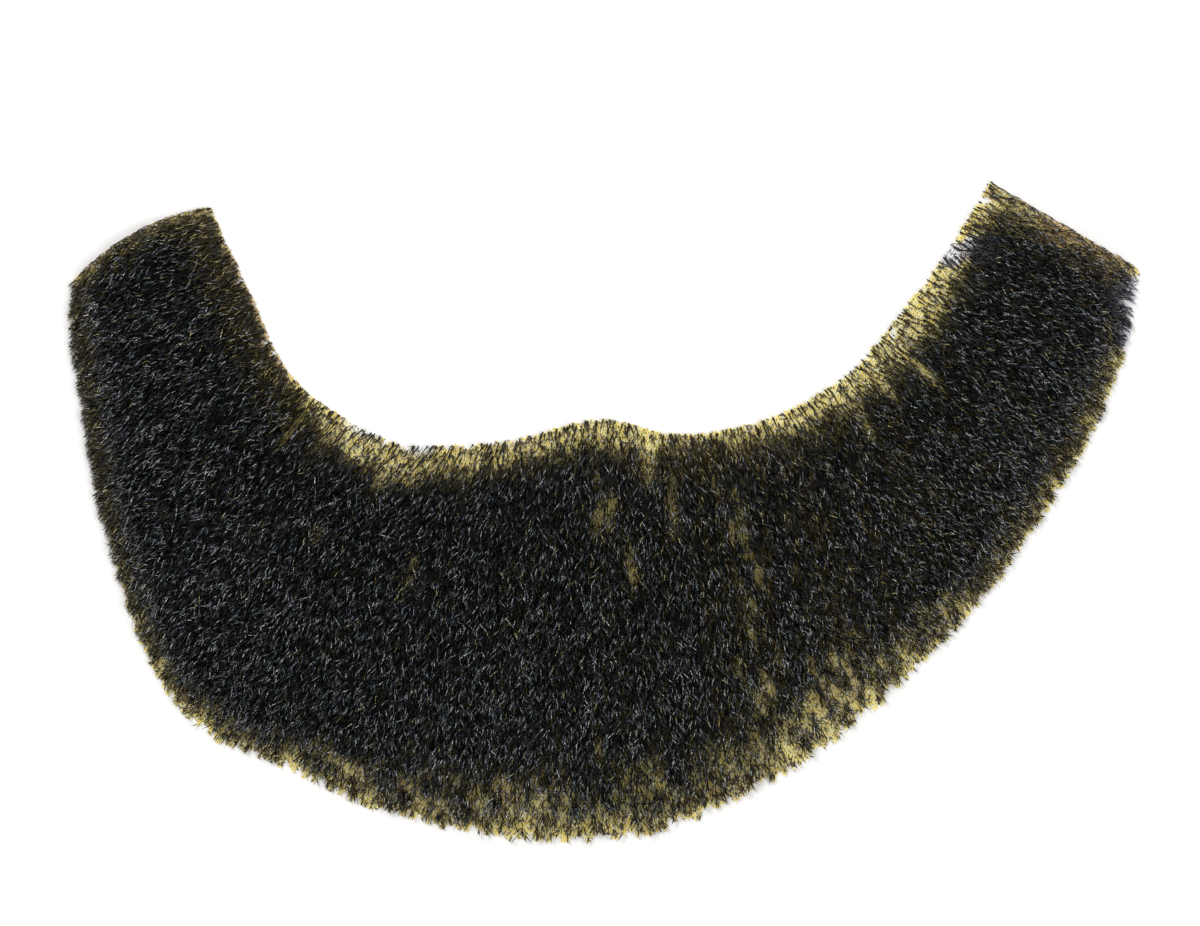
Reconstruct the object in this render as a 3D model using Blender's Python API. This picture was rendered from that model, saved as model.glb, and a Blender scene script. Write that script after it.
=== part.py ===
"""A full-face false beard that lies flat: a lace foundation and seven zones of short hair in locks.

Metres, +Z up. The lace lies on Z = 0 and the hair is on top of it. The notch for the face opens
towards +Y, the chin points to -Y, and the origin is at the middle of the beard's own box, on the floor.
Left and right are those of someone who looks down on the beard.
"""

import math
from collections import namedtuple

import bmesh
import bpy

# Driving sizes of the whole beard
SPAN = 0.2800
DROP = 0.1745

# Lace foundation
LACE_THICKNESS = 0.0010
LACE_HEM_INSET = 0.0020

# Hair backing
PILE_GAP = 0.0003
ZONE_GAP = 0.0003
BACKING_DEPTH = 0.0032
BARE_BAND = 0.0120
EAR_EDGE = 0.0025
HEM_OVERHANG = 0.0030

# Locks of hair
LOCK_LENGTH = 0.0210
LOCK_WIDTH = 0.0114
LOCK_PITCH = 0.0110
LOCK_LIFT = 0.0050
LOCK_ROOT_DEPTH = 0.0016
LOCK_SIDE_INSET = 0.0003
ROW_PITCH = 0.0132
FIRST_ROW = 0.0020

# Smaller locks whose points make the trimmed hem
HEM_LOCK_LENGTH = 0.0100
HEM_LOCK_WIDTH = 0.0068
HEM_LOCK_PITCH = 0.0070
HEM_LOCK_LIFT = 0.0028

# How finely the outline is drawn
OUTLINE_STEP = 0.0060

# Each station is one line along which the hair lies, from the edge round the face out to the hem.
# Across is a share of half the span, up a share of half the drop, bow a share of the line's own length
# that it curves sideways, and bare the share of the bare band that shows as lace.
Station = namedtuple("Station", "edge_across edge_up hem_across hem_up bow bare")
STATIONS = (
    Station(-0.735, 0.919, -1.000, 0.681, 0.09, 0.10),
    Station(-0.701, 0.799, -1.000, 0.529, 0.02, 0.10),
    Station(-0.660, 0.658, -0.981, 0.334, 0.00, 0.15),
    Station(-0.587, 0.416, -0.942, -0.027, 0.00, 0.30),
    Station(-0.475, 0.274, -0.853, -0.452, 0.00, 0.55),
    Station(-0.400, 0.222, -0.748, -0.662, 0.00, 0.75),
    Station(-0.323, 0.200, -0.626, -0.758, 0.00, 0.90),
    Station(-0.174, 0.216, -0.381, -0.920, 0.00, 0.65),
    Station(-0.006, 0.279, -0.080, -1.003, 0.00, 0.60),
    Station(0.144, 0.234, 0.165, -0.932, 0.00, 0.60),
    Station(0.312, 0.283, 0.431, -0.708, 0.00, 0.55),
    Station(0.460, 0.422, 0.696, -0.318, 0.00, 0.75),
    Station(0.570, 0.627, 0.880, 0.104, 0.00, 0.95),
    Station(0.648, 0.797, 0.974, 0.436, 0.00, 0.80),
    Station(0.723, 0.994, 1.008, 0.730, 0.00, 0.60),
)
LAST_STATION = len(STATIONS) - 1

# How far to each side of a line, in stations, the distance between lines is measured
SPREAD_PROBE = 0.05

# Each zone is the hair between two stations.
Zone = namedtuple("Zone", "name first last")
ZONES = (
    Zone("left_sideburn_hair", 0.0, 2.0),
    Zone("left_cheek_hair", 2.0, 3.6),
    Zone("left_jaw_hair", 3.6, 6.2),
    Zone("chin_hair", 6.2, 8.9),
    Zone("right_jaw_hair", 8.9, 10.6),
    Zone("right_cheek_hair", 10.6, 12.3),
    Zone("right_sideburn_hair", 12.3, 14.0),
)

# A lock's shape from root to tip. Reach is a share of its length, width of its half width,
# and shoulder and ridge of its lift above the backing.
LockSection = namedtuple("LockSection", "reach width shoulder ridge")
LOCK_SECTIONS = (
    LockSection(0.00, 0.50, -0.20, -0.06),
    LockSection(0.34, 1.00, 0.10, 0.62),
    LockSection(0.72, 0.74, 0.26, 1.00),
    LockSection(1.00, 0.08, 0.12, 0.62),
)

# How locks differ, as shares of the lock's width, length and lift. Neighbours and rows skip
# some habits, so that the same ones don't line up.
LockHabit = namedtuple("LockHabit", "sway reach lift")
LOCK_HABITS = (
    LockHabit(0.10, 1.00, 1.00),
    LockHabit(-0.32, 0.86, 0.82),
    LockHabit(0.24, 0.94, 0.92),
    LockHabit(-0.12, 1.00, 0.76),
    LockHabit(0.36, 0.82, 1.00),
    LockHabit(-0.22, 0.96, 0.88),
    LockHabit(0.03, 0.89, 0.72),
)
HABIT_SKIP = 3
HABIT_ROW_SKIP = 2
HEM_HABIT_SKIP = 5

# Where a row's locks stand in their pitch, so that one row covers the last one's gaps
EVEN_ROW_SHIFT = 0.68
ODD_ROW_SHIFT = 0.32
HEM_ROW_SHIFT = 0.50

LockSize = namedtuple("LockSize", "length width lift")
LOCK = LockSize(LOCK_LENGTH, LOCK_WIDTH, LOCK_LIFT)
HEM_LOCK = LockSize(HEM_LOCK_LENGTH, HEM_LOCK_WIDTH, HEM_LOCK_LIFT)


def clear_scene():
    """Remove every object that is in the scene."""
    for found in list(bpy.data.objects):
        bpy.data.objects.remove(found, do_unlink=True)


def make_material(name, colour, roughness, sheen):
    """Return a plain Principled material."""
    material = bpy.data.materials.new(name)
    material.use_nodes = True
    shader = material.node_tree.nodes["Principled BSDF"]
    shader.inputs["Base Color"].default_value = (*colour, 1.0)
    shader.inputs["Roughness"].default_value = roughness
    shader.inputs["Metallic"].default_value = 0.0
    shader.inputs["Sheen Weight"].default_value = sheen
    return material


def lace_material():
    """Pale gold net."""
    return make_material("lace", (0.48, 0.36, 0.15), 0.70, 0.10)


def hair_material():
    """Near-black hair."""
    return make_material("hair", (0.013, 0.013, 0.014), 0.42, 0.20)


def smooth_value(column, at):
    """Read a column of the stations at any place between them, on a smooth curve through them all."""
    at = min(max(at, 0.0), float(LAST_STATION))
    start = min(int(at), LAST_STATION - 1)
    part = at - start
    here = getattr(STATIONS[start], column)
    there = getattr(STATIONS[start + 1], column)
    before = getattr(STATIONS[start - 1], column) if start > 0 else 2.0 * here - there
    beyond = getattr(STATIONS[start + 2], column) if start + 2 <= LAST_STATION else 2.0 * there - here
    slope_here = 0.5 * (there - before)
    slope_there = 0.5 * (beyond - here)
    square = part * part
    cube = square * part
    return (
        here * (2.0 * cube - 3.0 * square + 1.0)
        + slope_here * (cube - 2.0 * square + part)
        + there * (3.0 * square - 2.0 * cube)
        + slope_there * (cube - square)
    )


def line_ends(at):
    """Return the two ends of a station's line, at the face edge and at the hem, in metres."""
    edge = (smooth_value("edge_across", at) * SPAN / 2.0, smooth_value("edge_up", at) * DROP / 2.0)
    hem = (smooth_value("hem_across", at) * SPAN / 2.0, smooth_value("hem_up", at) * DROP / 2.0)
    return edge, hem


def line_length(at):
    """Return the length of a station's line."""
    edge, hem = line_ends(at)
    return math.dist(edge, hem)


def place(at, along):
    """Return the point of a station's line at a share of the way from the face edge to the hem."""
    edge, hem = line_ends(at)
    run = (hem[0] - edge[0], hem[1] - edge[1])
    bulge = 4.0 * along * (1.0 - along) * smooth_value("bow", at)
    return (
        edge[0] + run[0] * along + run[1] * bulge,
        edge[1] + run[1] * along - run[0] * bulge,
    )


def spread(at, along):
    """Return how far apart two lines lie, square to them, for each whole station between them."""
    low = max(at - SPREAD_PROBE, 0.0)
    high = min(at + SPREAD_PROBE, float(LAST_STATION))
    start = place(low, along)
    end = place(high, along)
    edge, hem = line_ends(at)
    length = math.dist(edge, hem)
    direction = ((hem[0] - edge[0]) / length, (hem[1] - edge[1]) / length)
    step = (end[0] - start[0], end[1] - start[1])
    return abs(step[0] * direction[1] - step[1] * direction[0]) / (high - low)


def side_limit(zone, along, is_first, clearance):
    """Return the station at which a zone's side keeps a clearance from the zone's own bound."""
    bound = zone.first if is_first else zone.last
    shift = clearance / spread(bound, along)
    return bound + shift if is_first else bound - shift


def side_clearance(zone, is_first):
    """Return what a side keeps clear of: a neighbour zone, or the cut edge at an ear."""
    is_ear = zone.first == 0.0 if is_first else zone.last == LAST_STATION
    return EAR_EDGE if is_ear else ZONE_GAP / 2.0


def zone_station(zone, share, along, extra=0.0):
    """Return the station at a share of the way across a zone, clear of its neighbours."""
    low = side_limit(zone, along, True, side_clearance(zone, True) + extra)
    high = side_limit(zone, along, False, side_clearance(zone, False) + extra)
    return low + (high - low) * share


def bare_share(at):
    """Return the share of a line that is left as bare lace at the face edge."""
    return smooth_value("bare", at) * BARE_BAND / line_length(at)


def steps_for(length):
    """Return how many outline steps a length takes."""
    return max(2, round(length / OUTLINE_STEP))


def prism(name, outline, bottom, top, material):
    """Make an object from a flat closed outline, from one height up to another."""
    shape = bmesh.new()
    floor = [shape.verts.new((x, y, bottom)) for x, y in outline]
    face = shape.faces.new(floor)
    raised = bmesh.ops.extrude_face_region(shape, geom=[face])
    lifted = [item for item in raised["geom"] if isinstance(item, bmesh.types.BMVert)]
    bmesh.ops.translate(shape, vec=(0.0, 0.0, top - bottom), verts=lifted)
    bmesh.ops.recalc_face_normals(shape, faces=shape.faces)
    mesh = bpy.data.meshes.new(name)
    shape.to_mesh(mesh)
    shape.free()
    mesh.materials.append(material)
    made = bpy.data.objects.new(name, mesh)
    bpy.context.scene.collection.objects.link(made)
    return made


def lace_outline():
    """Return the lace's cut edge: along the face, down the right ear, round the hem, up the left ear."""
    steps = steps_for(math.pi * SPAN / 2.0)
    face = [place(LAST_STATION * i / steps, 0.0) for i in range(steps + 1)]
    sides = steps_for(line_length(0.0))
    hem = []
    for i in range(steps + 1):
        at = LAST_STATION * (steps - i) / steps
        hem.append(place(at, 1.0 - LACE_HEM_INSET / line_length(at)))
    right_end = 1.0 - LACE_HEM_INSET / line_length(LAST_STATION)
    left_end = 1.0 - LACE_HEM_INSET / line_length(0.0)
    right_ear = [place(LAST_STATION, right_end * i / sides) for i in range(1, sides)]
    left_ear = [place(0.0, left_end * (sides - i) / sides) for i in range(1, sides)]
    return face + right_ear + hem + left_ear


def make_lace(material):
    """Make the lace foundation."""
    return prism("lace_foundation", lace_outline(), 0.0, LACE_THICKNESS, material)


def pile_bottom():
    """Return the height of the underside of the hair."""
    return LACE_THICKNESS + PILE_GAP


def pile_top():
    """Return the height of the backing that the locks stand on."""
    return pile_bottom() + BACKING_DEPTH


def backing_end(at):
    """Return the share of a line at which the backing stops short of the hem."""
    return 1.0 - HEM_OVERHANG / line_length(at)


def backing_outline(zone):
    """Return the outline of a zone's backing, just clear of its neighbours."""
    middle = middle_station(zone)
    across = steps_for(spread(middle, 1.0) * (zone.last - zone.first))
    down = steps_for(line_length(middle))

    def edge_point(share):
        at = zone_station(zone, share, 0.0)
        return place(at, bare_share(at))

    def hem_point(share):
        at = zone_station(zone, share, 1.0)
        return place(at, backing_end(at))

    def side_point(share, is_last):
        guess = zone.last if is_last else zone.first
        start = bare_share(guess)
        along = start + (backing_end(guess) - start) * share
        return place(zone_station(zone, 1.0 if is_last else 0.0, along), along)

    face = [edge_point(i / across) for i in range(across + 1)]
    last_side = [side_point(i / down, True) for i in range(1, down)]
    hem = [hem_point(1.0 - i / across) for i in range(across + 1)]
    first_side = [side_point(1.0 - i / down, False) for i in range(1, down)]
    return face + last_side + hem + first_side


def add_lock(shape, zone, share, start, size, habit):
    """Add one closed lock whose flat underside is inside the backing and whose point lies towards the hem."""
    root = pile_top() - LOCK_ROOT_DEPTH
    lift = size.lift * habit.lift
    length = size.length * habit.reach / line_length(zone_station(zone, share, start))
    rings = []
    for section in LOCK_SECTIONS:
        along = min(start + length * section.reach, 1.0)
        low = zone_station(zone, 0.0, along, LOCK_SIDE_INSET)
        high = zone_station(zone, 1.0, along, LOCK_SIDE_INSET)
        centre = zone_station(zone, share, along)
        centre += size.width * habit.sway * section.reach / spread(centre, along)
        aside = size.width / 2.0 * section.width / spread(centre, along)
        centre = min(max(centre, low + aside), high - aside)
        left = place(max(centre - aside, low), along)
        ridge = place(centre, along)
        right = place(min(centre + aside, high), along)
        shoulder_z = pile_top() + lift * section.shoulder
        ridge_z = pile_top() + lift * section.ridge
        corners = ((*left, root), (*right, root), (*right, shoulder_z), (*ridge, ridge_z), (*left, shoulder_z))
        rings.append([shape.verts.new(corner) for corner in corners])
    shape.faces.new(rings[0])
    shape.faces.new(list(reversed(rings[-1])))
    for near, far in zip(rings, rings[1:]):
        for i, corner in enumerate(near):
            beside = (i + 1) % len(near)
            shape.faces.new((corner, far[i], far[beside], near[beside]))


def middle_station(zone):
    """Return the station in the middle of a zone."""
    return (zone.first + zone.last) / 2.0


def locks_across(zone, along, pitch):
    """Return how many locks fit side by side across a zone."""
    width = spread(middle_station(zone), along) * (zone.last - zone.first)
    return max(1, round(width / pitch))


def add_inner_rows(shape, zone):
    """Add the rows of locks between the face edge and the hem."""
    middle = middle_station(zone)
    length = line_length(middle)
    begin = bare_share(middle) + FIRST_ROW / length
    run = 1.0 - begin - HEM_LOCK_LENGTH / length
    rows = max(1, round(run * length / ROW_PITCH))
    for row in range(rows):
        start = begin + run * row / rows
        count = locks_across(zone, start, LOCK_PITCH)
        shift = ODD_ROW_SHIFT if row % 2 else EVEN_ROW_SHIFT
        for i in range(count):
            habit = LOCK_HABITS[(i * HABIT_SKIP + row * HABIT_ROW_SKIP) % len(LOCK_HABITS)]
            add_lock(shape, zone, (i + shift) / count, start, LOCK, habit)


def add_hem_row(shape, zone):
    """Add the row of small locks whose points make the hem."""
    start = 1.0 - HEM_LOCK_LENGTH / line_length(middle_station(zone))
    count = locks_across(zone, 1.0, HEM_LOCK_PITCH)
    for i in range(count):
        habit = LOCK_HABITS[(i * HEM_HABIT_SKIP) % len(LOCK_HABITS)]
        add_lock(shape, zone, (i + HEM_ROW_SHIFT) / count, start, HEM_LOCK, habit)


def make_locks(zone):
    """Make the helper that holds a zone's locks before they are joined to the backing."""
    shape = bmesh.new()
    add_inner_rows(shape, zone)
    add_hem_row(shape, zone)
    bmesh.ops.recalc_face_normals(shape, faces=shape.faces)
    mesh = bpy.data.meshes.new(zone.name + "_locks")
    shape.to_mesh(mesh)
    shape.free()
    locks = bpy.data.objects.new(zone.name + "_locks", mesh)
    bpy.context.scene.collection.objects.link(locks)
    locks.hide_render = True
    locks.display_type = "WIRE"
    return locks


def make_zone(zone, material):
    """Make one zone of hair: a backing with its locks fused to it."""
    hair = prism(zone.name, backing_outline(zone), pile_bottom(), pile_top(), material)
    locks = make_locks(zone)
    union = hair.modifiers.new("Locks", "BOOLEAN")
    union.operation = "UNION"
    union.solver = "EXACT"
    union.use_self = True
    union.object = locks
    bpy.context.view_layer.objects.active = hair
    bpy.ops.object.modifier_apply(modifier=union.name)
    bpy.data.objects.remove(locks, do_unlink=True)
    return hair


def main():
    """Build the beard."""
    clear_scene()
    root = bpy.data.objects.new("beard", None)
    bpy.context.scene.collection.objects.link(root)
    lace = make_lace(lace_material())
    lace.parent = root
    hair = hair_material()
    for zone in ZONES:
        made = make_zone(zone, hair)
        made.parent = root


main()
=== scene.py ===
"""The looks of a full-face false beard that lies flat: short coarse hair tied by hand into gold lace.

Metres, +Z up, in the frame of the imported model. The lace lies on the floor at Z = 0, the notch for the
face opens towards +Y and the chin points to -Y. Left and right are those of someone who looks down on
the beard.
"""

from __future__ import annotations

import logging
import math
from collections.abc import Iterator
from contextlib import contextmanager
from dataclasses import dataclass
from enum import Enum
from typing import NamedTuple

import bmesh
import bpy
import numpy as np
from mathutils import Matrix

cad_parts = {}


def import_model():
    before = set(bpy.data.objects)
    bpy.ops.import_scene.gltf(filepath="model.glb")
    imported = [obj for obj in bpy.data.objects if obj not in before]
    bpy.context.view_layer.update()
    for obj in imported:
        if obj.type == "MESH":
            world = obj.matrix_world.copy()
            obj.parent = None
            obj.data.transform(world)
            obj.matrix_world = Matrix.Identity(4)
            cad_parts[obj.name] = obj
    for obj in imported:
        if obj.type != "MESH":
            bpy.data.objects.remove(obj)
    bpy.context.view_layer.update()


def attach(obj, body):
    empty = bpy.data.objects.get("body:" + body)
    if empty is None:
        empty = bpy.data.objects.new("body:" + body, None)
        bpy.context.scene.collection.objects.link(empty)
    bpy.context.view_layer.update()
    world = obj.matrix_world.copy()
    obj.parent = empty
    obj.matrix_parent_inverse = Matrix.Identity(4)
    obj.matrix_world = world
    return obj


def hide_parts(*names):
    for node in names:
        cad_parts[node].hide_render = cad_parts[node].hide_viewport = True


LOG = logging.getLogger("false_beard")

Array = np.ndarray
Colour = tuple[float, float, float]
SocketKey = str | int

BODY = "root"
MAP_NAME = "OFBake"
MILLIMETRE = 0.001

# Steps that spread points evenly over a square
SIDEWAYS_STEP = 0.7548776662
ONWARD_STEP = 0.5698402910


class Station(NamedTuple):
    """One line along which the hair lies, from the edge round the face out to the hem.

    Across is a share of half the span and up a share of half the drop. Bow is a share of the line's own
    length that it curves sideways, and bare the share of the bare band where lace shows at the face.
    Ragged is the depth in millimetres over which the hair thins out towards the hem, tawny the share of
    the hair that is brown, and frayed how deep in millimetres the face edge is cut in. Swept is how far
    in degrees the hair is turned from its line towards the next one.
    """

    edge_across: float
    edge_up: float
    hem_across: float
    hem_up: float
    bow: float
    bare: float
    ragged: float
    tawny: float
    frayed: float
    swept: float


# From the cut at the left ear to the cut at the right ear
STATIONS = (
    Station(-0.735, 0.919, -1.000, 0.681, 0.09, 0.05, 5.0, 0.16, 0.2, 0.0),
    Station(-0.701, 0.799, -1.000, 0.529, 0.02, 0.04, 3.6, 0.06, 0.3, 0.0),
    Station(-0.660, 0.658, -0.981, 0.334, 0.00, 0.04, 2.8, 0.02, 0.3, 0.0),
    Station(-0.587, 0.416, -0.942, -0.027, 0.00, 0.12, 4.0, 0.02, 0.3, 0.0),
    Station(-0.475, 0.274, -0.853, -0.452, 0.00, 0.50, 11.5, 0.02, 0.6, 0.0),
    Station(-0.400, 0.222, -0.748, -0.662, 0.00, 0.80, 16.0, 0.02, 2.6, 0.0),
    Station(-0.323, 0.200, -0.626, -0.758, 0.00, 0.82, 19.0, 0.03, 2.6, 0.0),
    Station(-0.174, 0.216, -0.381, -0.920, 0.00, 0.56, 27.0, 0.05, 1.0, 0.0),
    Station(-0.006, 0.279, -0.080, -1.003, 0.00, 0.54, 33.0, 0.09, 0.5, 0.0),
    Station(0.144, 0.234, 0.165, -0.932, 0.00, 0.24, 31.0, 0.15, 0.6, 5.0),
    Station(0.312, 0.283, 0.426, -0.701, 0.00, 0.38, 30.0, 0.21, 0.4, 13.0),
    Station(0.460, 0.422, 0.690, -0.311, 0.00, 0.52, 15.0, 0.15, 0.7, 16.0),
    Station(0.570, 0.627, 0.874, 0.110, 0.00, 0.74, 9.5, 0.07, 0.8, 12.0),
    Station(0.648, 0.797, 0.970, 0.436, 0.00, 0.40, 9.0, 0.06, 0.5, 6.0),
    Station(0.723, 0.994, 1.008, 0.730, 0.00, 0.22, 8.5, 0.12, 0.4, 0.0),
)


class Spot(NamedTuple):
    """A round place on the beard, in millimetres from its middle."""

    across: float
    up: float
    radius: float


class Parting(NamedTuple):
    """A long thin place where the hair parts and lace shows, in millimetres and degrees."""

    across: float
    up: float
    length: float
    width: float
    turn: float
    share: float


# Thin light streaks in the hair
PARTINGS = (
    Parting(-1.6, -2.0, 9.5, 2.7, 78.0, 0.96),
    Parting(1.9, 0.5, 13.5, 2.2, 84.0, 0.95),
    Parting(-1.9, 8.8, 6.0, 1.8, 80.0, 0.92),
    Parting(7.1, -12.3, 6.5, 2.3, 88.0, 0.97),
    Parting(7.9, -17.2, 7.5, 2.1, 94.0, 0.94),
    Parting(11.5, 13.5, 15.0, 5.0, 80.0, 0.86),
    Parting(18.3, 0.5, 22.0, 2.2, 92.0, 0.90),
    Parting(29.4, 6.6, 6.0, 1.9, 95.0, 0.94),
    Parting(36.0, -4.0, 20.0, 2.4, 101.0, 0.96),
    Parting(33.4, -5.5, 8.0, 1.8, 99.0, 0.92),
    Parting(40.8, -17.0, 6.5, 2.3, 102.0, 0.97),
    Parting(38.8, -23.4, 6.0, 2.2, 104.0, 0.96),
    Parting(38.6, -30.0, 6.5, 2.2, 100.0, 0.95),
    Parting(46.0, -38.0, 5.5, 2.0, 108.0, 0.96),
    Parting(35.3, -40.5, 5.0, 1.8, 104.0, 0.93),
    Parting(42.2, -44.0, 8.0, 2.4, 108.0, 0.95),
    Parting(41.0, -49.5, 6.0, 2.1, 110.0, 0.93),
    Parting(-1.0, -61.0, 9.0, 2.6, 92.0, 0.88),
    Parting(60.4, -38.6, 6.0, 2.0, 118.0, 0.94),
    Parting(55.0, -41.3, 5.5, 1.8, 118.0, 0.94),
    Parting(63.8, -41.3, 5.5, 1.8, 122.0, 0.94),
    Parting(73.4, -40.2, 5.0, 1.9, 126.0, 0.93),
    Parting(55.5, -50.2, 7.0, 1.9, 118.0, 0.94),
    Parting(61.5, -47.5, 6.0, 1.7, 124.0, 0.94),
    Parting(65.0, -50.0, 6.0, 1.8, 126.0, 0.94),
    Parting(52.9, -55.4, 5.0, 1.8, 120.0, 0.95),
    Parting(57.8, -56.4, 5.5, 1.9, 122.0, 0.95),
    Parting(70.4, -47.8, 5.5, 1.9, 126.0, 0.94),
    Parting(47.0, -60.0, 7.0, 2.0, 114.0, 0.92),
    Parting(74.0, 33.0, 12.0, 2.2, 120.0, 0.92),
    Parting(84.5, 36.0, 10.0, 2.2, 128.0, 0.92),
    Parting(69.0, 22.0, 12.0, 2.1, 118.0, 0.90),
    Parting(-50.5, -16.0, 11.0, 1.9, 70.0, 0.86),
    Parting(-59.0, 7.2, 5.5, 1.8, 66.0, 0.92),
    Parting(-74.5, -6.4, 5.0, 1.8, 60.0, 0.90),
    Parting(-82.0, 20.5, 9.0, 2.0, 58.0, 0.92),
    Parting(-75.5, 16.0, 7.0, 1.8, 58.0, 0.90),
)

# Tears that go through the lace too
SLITS = (
    Parting(76.0, 46.5, 4.2, 1.3, 82.0, 1.30),
    Parting(98.6, 81.6, 6.0, 1.9, -4.0, 1.30),
    Parting(109.4, 83.4, 6.0, 2.0, -20.0, 1.30),
    Parting(137.4, 54.6, 5.0, 1.5, -22.0, 1.30),
    Parting(-98.4, 70.2, 3.0, 1.1, 15.0, 1.30),
    Parting(-94.6, 60.6, 3.0, 1.1, 15.0, 1.30),
    Parting(-88.2, 44.4, 2.4, 0.8, 30.0, 1.30),
    Parting(-86.0, 41.6, 2.6, 0.8, 32.0, 1.30),
)

# Places where all the hair is violet grey
SLATE_SPOTS = (
    Spot(91.5, 67.8, 5.0),
    Spot(98.0, 69.2, 5.0),
    Spot(138.0, 58.0, 8.0),
    Spot(138.0, 47.0, 5.5),
    Spot(-66.0, 16.0, 5.0),
)


def eased(share: Array) -> Array:
    """Return a smooth rise from 0 to 1 over shares that may run past both ends."""
    inside = np.clip(share, 0.0, 1.0)
    return inside * inside * (3.0 - 2.0 * inside)


def raised(low: Array | float, share: Array) -> Array:
    """Return the value that is a share of the way from a low one up to 1."""
    return low + (1.0 - low) * share


@dataclass(frozen=True)
class Patches:
    """Soft uneven patches, from 0 to 1, of one width across the hair and one length along it."""

    width: float
    length: float
    seed: int
    grid: int = 257

    def read(self, across: Array, along: Array) -> Array:
        """Read the patches at places.

        Args:
            across: How far along the rim each place is, in metres.
            along: How far it is from the rim, in metres.

        Returns:
            The value there.
        """
        corners = np.random.default_rng(self.seed).random((self.grid, self.grid))
        sideways, onward = across / self.width, along / self.length
        column, row = np.floor(sideways).astype(int), np.floor(onward).astype(int)
        right, up = eased(sideways - column), eased(onward - row)
        near = corners[column % self.grid, row % self.grid]
        beside = corners[(column + 1) % self.grid, row % self.grid]
        beyond = corners[column % self.grid, (row + 1) % self.grid]
        opposite = corners[(column + 1) % self.grid, (row + 1) % self.grid]
        return (near * (1.0 - right) + beside * right) * (1.0 - up) + (
            beyond * (1.0 - right) + opposite * right
        ) * up


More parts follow.
